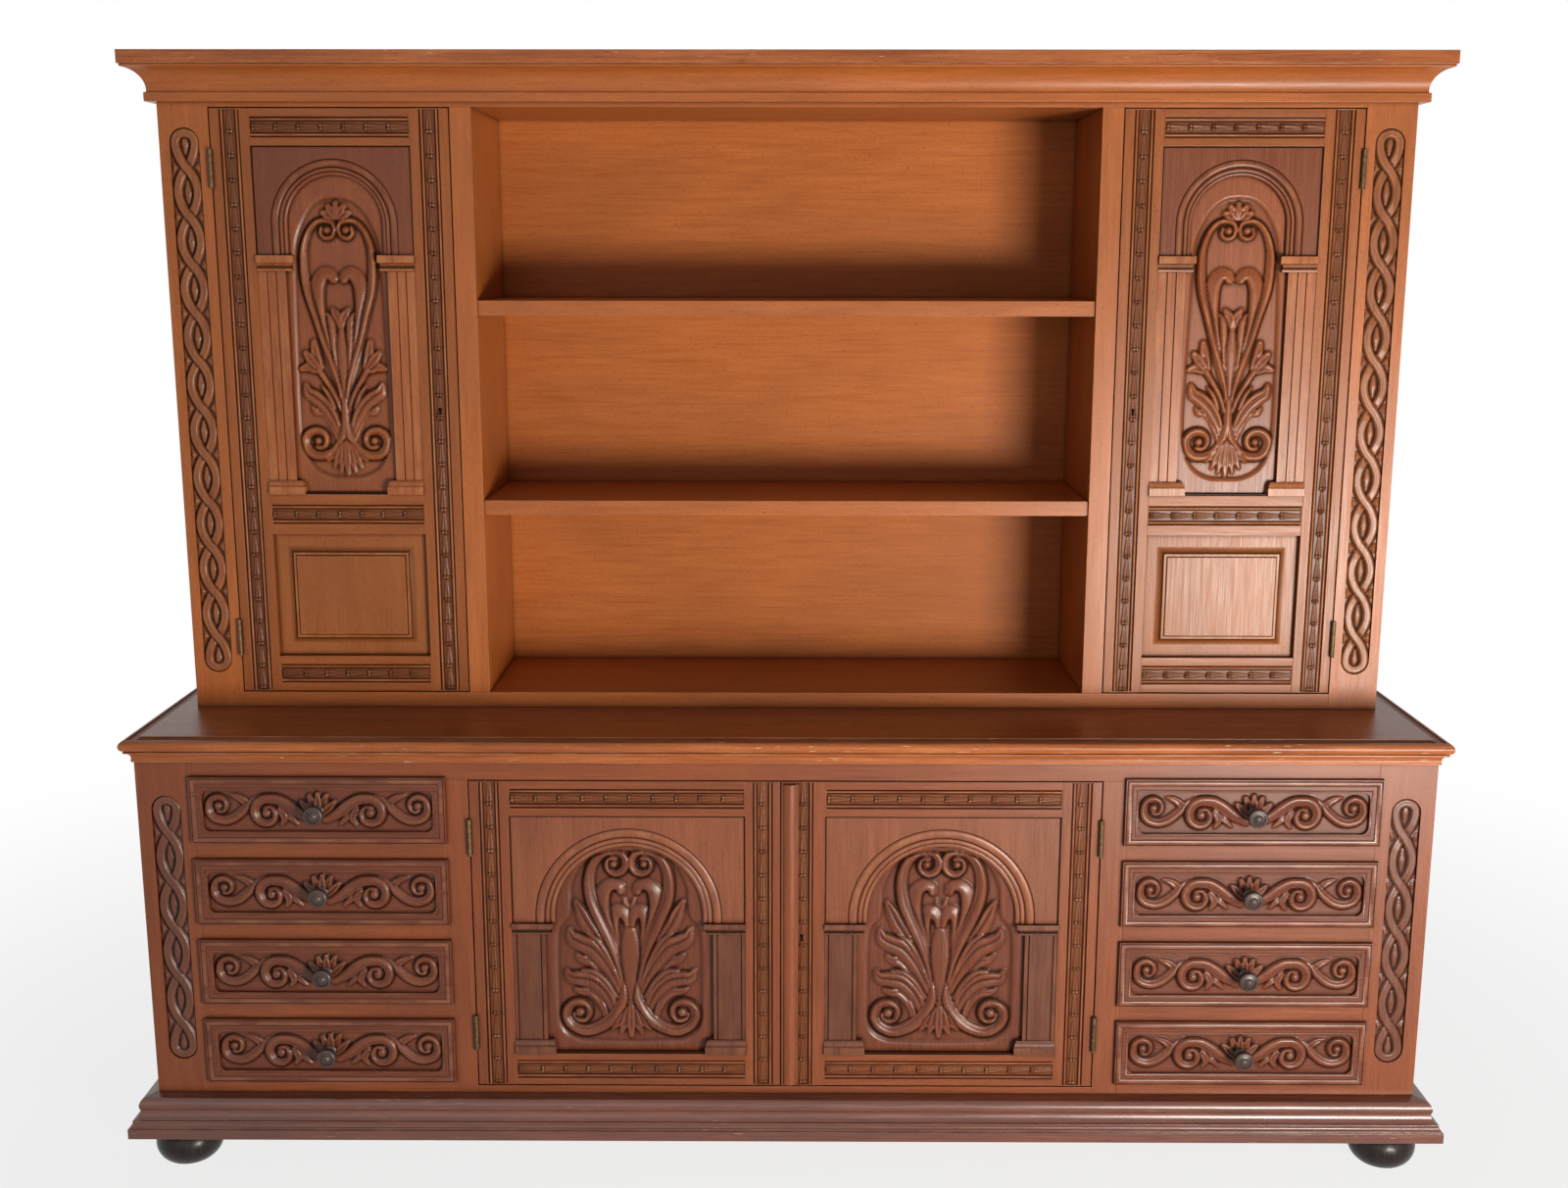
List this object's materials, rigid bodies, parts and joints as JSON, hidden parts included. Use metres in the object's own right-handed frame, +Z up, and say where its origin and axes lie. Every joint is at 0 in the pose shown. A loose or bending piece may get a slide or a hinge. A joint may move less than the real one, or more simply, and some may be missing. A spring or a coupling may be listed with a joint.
{
  "type": "buffet cabinet",
  "caption": "Wide wooden buffet cabinet on bun feet: drawers beside two framed doors under a worktop, and a hutch of open shelves between two tall carved doors.",
  "frame": {"origin": "on the floor, in the middle of the footprint of the plinth", "axes": "+Z up, +X across the width to the right of someone facing the doors, +Y from the front to the back"},
  "size_m": [2.286, 0.523, 1.91],
  "materials": {
    "mahogany": "satin lacquered mahogany, reddish brown",
    "carved_mahogany": "satin lacquered mahogany, darker in the carving",
    "dark_stained_wood": "dark stained turned wood",
    "hardwood": "plain unpolished hardwood",
    "veneered_plywood": "satin veneered plywood",
    "aged_brass": "tarnished brass",
    "steel": "dull steel"
  },
  "bodies": {
    "carcass": {"base_top": "mahogany", "base_uprights": "mahogany", "back_panels": "veneered_plywood", "base_inside_boards": "mahogany", "base_corner_stiles": "mahogany", "base_face_frame": "mahogany", "drawer_runners": "hardwood", "plinth_moulding": "mahogany", "plinth_frame": "hardwood", "bun_feet": "dark_stained_wood", "hutch_uprights": "mahogany", "hutch_bottom_and_ceiling": "mahogany", "hutch_shelves": "mahogany", "hutch_corner_stiles": "mahogany", "hutch_face_frame": "mahogany", "cornice_moulding": "mahogany", "hutch_top_board": "mahogany", "hinge_fixed_leaves": "aged_brass"},
    "drawer_left_1": {"drawer_left_1_front": "carved_mahogany", "drawer_left_1_box": "hardwood", "drawer_left_1_knob": "dark_stained_wood"},
    "drawer_left_2": {"drawer_left_2_front": "carved_mahogany", "drawer_left_2_box": "hardwood", "drawer_left_2_knob": "dark_stained_wood"},
    "drawer_left_3": {"drawer_left_3_front": "carved_mahogany", "drawer_left_3_box": "hardwood", "drawer_left_3_knob": "dark_stained_wood"},
    "drawer_left_4": {"drawer_left_4_front": "carved_mahogany", "drawer_left_4_box": "hardwood", "drawer_left_4_knob": "dark_stained_wood"},
    "drawer_right_1": {"drawer_right_1_front": "carved_mahogany", "drawer_right_1_box": "hardwood", "drawer_right_1_knob": "dark_stained_wood"},
    "drawer_right_2": {"drawer_right_2_front": "carved_mahogany", "drawer_right_2_box": "hardwood", "drawer_right_2_knob": "dark_stained_wood"},
    "drawer_right_3": {"drawer_right_3_front": "carved_mahogany", "drawer_right_3_box": "hardwood", "drawer_right_3_knob": "dark_stained_wood"},
    "drawer_right_4": {"drawer_right_4_front": "carved_mahogany", "drawer_right_4_box": "hardwood", "drawer_right_4_knob": "dark_stained_wood"},
    "hutch_door_left": {"hutch_door_left_frame": "mahogany", "hutch_door_left_arch_panel": "carved_mahogany", "hutch_door_left_raised_panel": "mahogany", "hutch_door_left_hardware": "aged_brass"},
    "hutch_door_left_bolt": {"hutch_door_left_bolt": "steel"},
    "hutch_door_right": {"hutch_door_right_frame": "mahogany", "hutch_door_right_arch_panel": "carved_mahogany", "hutch_door_right_raised_panel": "mahogany", "hutch_door_right_hardware": "aged_brass"},
    "hutch_door_right_bolt": {"hutch_door_right_bolt": "steel"},
    "base_door_left": {"base_door_left_frame": "mahogany", "base_door_left_panel": "carved_mahogany", "base_door_left_hardware": "aged_brass"},
    "base_door_left_bolt": {"base_door_left_bolt": "aged_brass"},
    "base_door_right": {"base_door_right_frame": "mahogany", "base_door_right_panel": "carved_mahogany", "base_door_right_hardware": "aged_brass"},
    "base_door_right_bolt": {"base_door_right_bolt": "steel"}
  },
  "joints": [
    {"name": "drawer_left_1_slide", "type": "slide", "parent": "carcass", "child": "drawer_left_1", "axis": [0, -1, 0], "range_m": [0, 0.3]},
    {"name": "drawer_left_2_slide", "type": "slide", "parent": "carcass", "child": "drawer_left_2", "axis": [0, -1, 0], "range_m": [0, 0.3]},
    {"name": "drawer_left_3_slide", "type": "slide", "parent": "carcass", "child": "drawer_left_3", "axis": [0, -1, 0], "range_m": [0, 0.3]},
    {"name": "drawer_left_4_slide", "type": "slide", "parent": "carcass", "child": "drawer_left_4", "axis": [0, -1, 0], "range_m": [0, 0.3]},
    {"name": "drawer_right_1_slide", "type": "slide", "parent": "carcass", "child": "drawer_right_1", "axis": [0, -1, 0], "range_m": [0, 0.3]},
    {"name": "drawer_right_2_slide", "type": "slide", "parent": "carcass", "child": "drawer_right_2", "axis": [0, -1, 0], "range_m": [0, 0.3]},
    {"name": "drawer_right_3_slide", "type": "slide", "parent": "carcass", "child": "drawer_right_3", "axis": [0, -1, 0], "range_m": [0, 0.3]},
    {"name": "drawer_right_4_slide", "type": "slide", "parent": "carcass", "child": "drawer_right_4", "axis": [0, -1, 0], "range_m": [0, 0.3]},
    {"name": "hutch_door_left_hinge", "type": "hinge", "parent": "carcass", "child": "hutch_door_left", "pos_m": [-0.973, -0.0207, 1.31575], "axis": [0, 0, 1], "range_deg": [-170, 0]},
    {"name": "hutch_door_left_bolt_slide", "type": "slide", "parent": "hutch_door_left", "child": "hutch_door_left_bolt", "axis": [1, 0, 0], "range_m": [0, 0.01]},
    {"name": "hutch_door_right_hinge", "type": "hinge", "parent": "carcass", "child": "hutch_door_right", "pos_m": [0.973, -0.0207, 1.31575], "axis": [0, 0, -1], "range_deg": [-170, 0]},
    {"name": "hutch_door_right_bolt_slide", "type": "slide", "parent": "hutch_door_right", "child": "hutch_door_right_bolt", "axis": [-1, 0, 0], "range_m": [0, 0.01]},
    {"name": "base_door_left_hinge", "type": "hinge", "parent": "carcass", "child": "base_door_left", "pos_m": [-0.5365, -0.2227, 0.42925], "axis": [0, 0, 1], "range_deg": [-165, 0]},
    {"name": "base_door_left_bolt_slide", "type": "slide", "parent": "base_door_left", "child": "base_door_left_bolt", "axis": [0, 0, 1], "range_m": [0, 0.015]},
    {"name": "base_door_right_hinge", "type": "hinge", "parent": "carcass", "child": "base_door_right", "pos_m": [0.5365, -0.2227, 0.42925], "axis": [0, 0, -1], "range_deg": [-165, 0]},
    {"name": "base_door_right_bolt_slide", "type": "slide", "parent": "base_door_right", "child": "base_door_right_bolt", "axis": [-1, 0, 0], "range_m": [0, 0.01]}
  ]
}
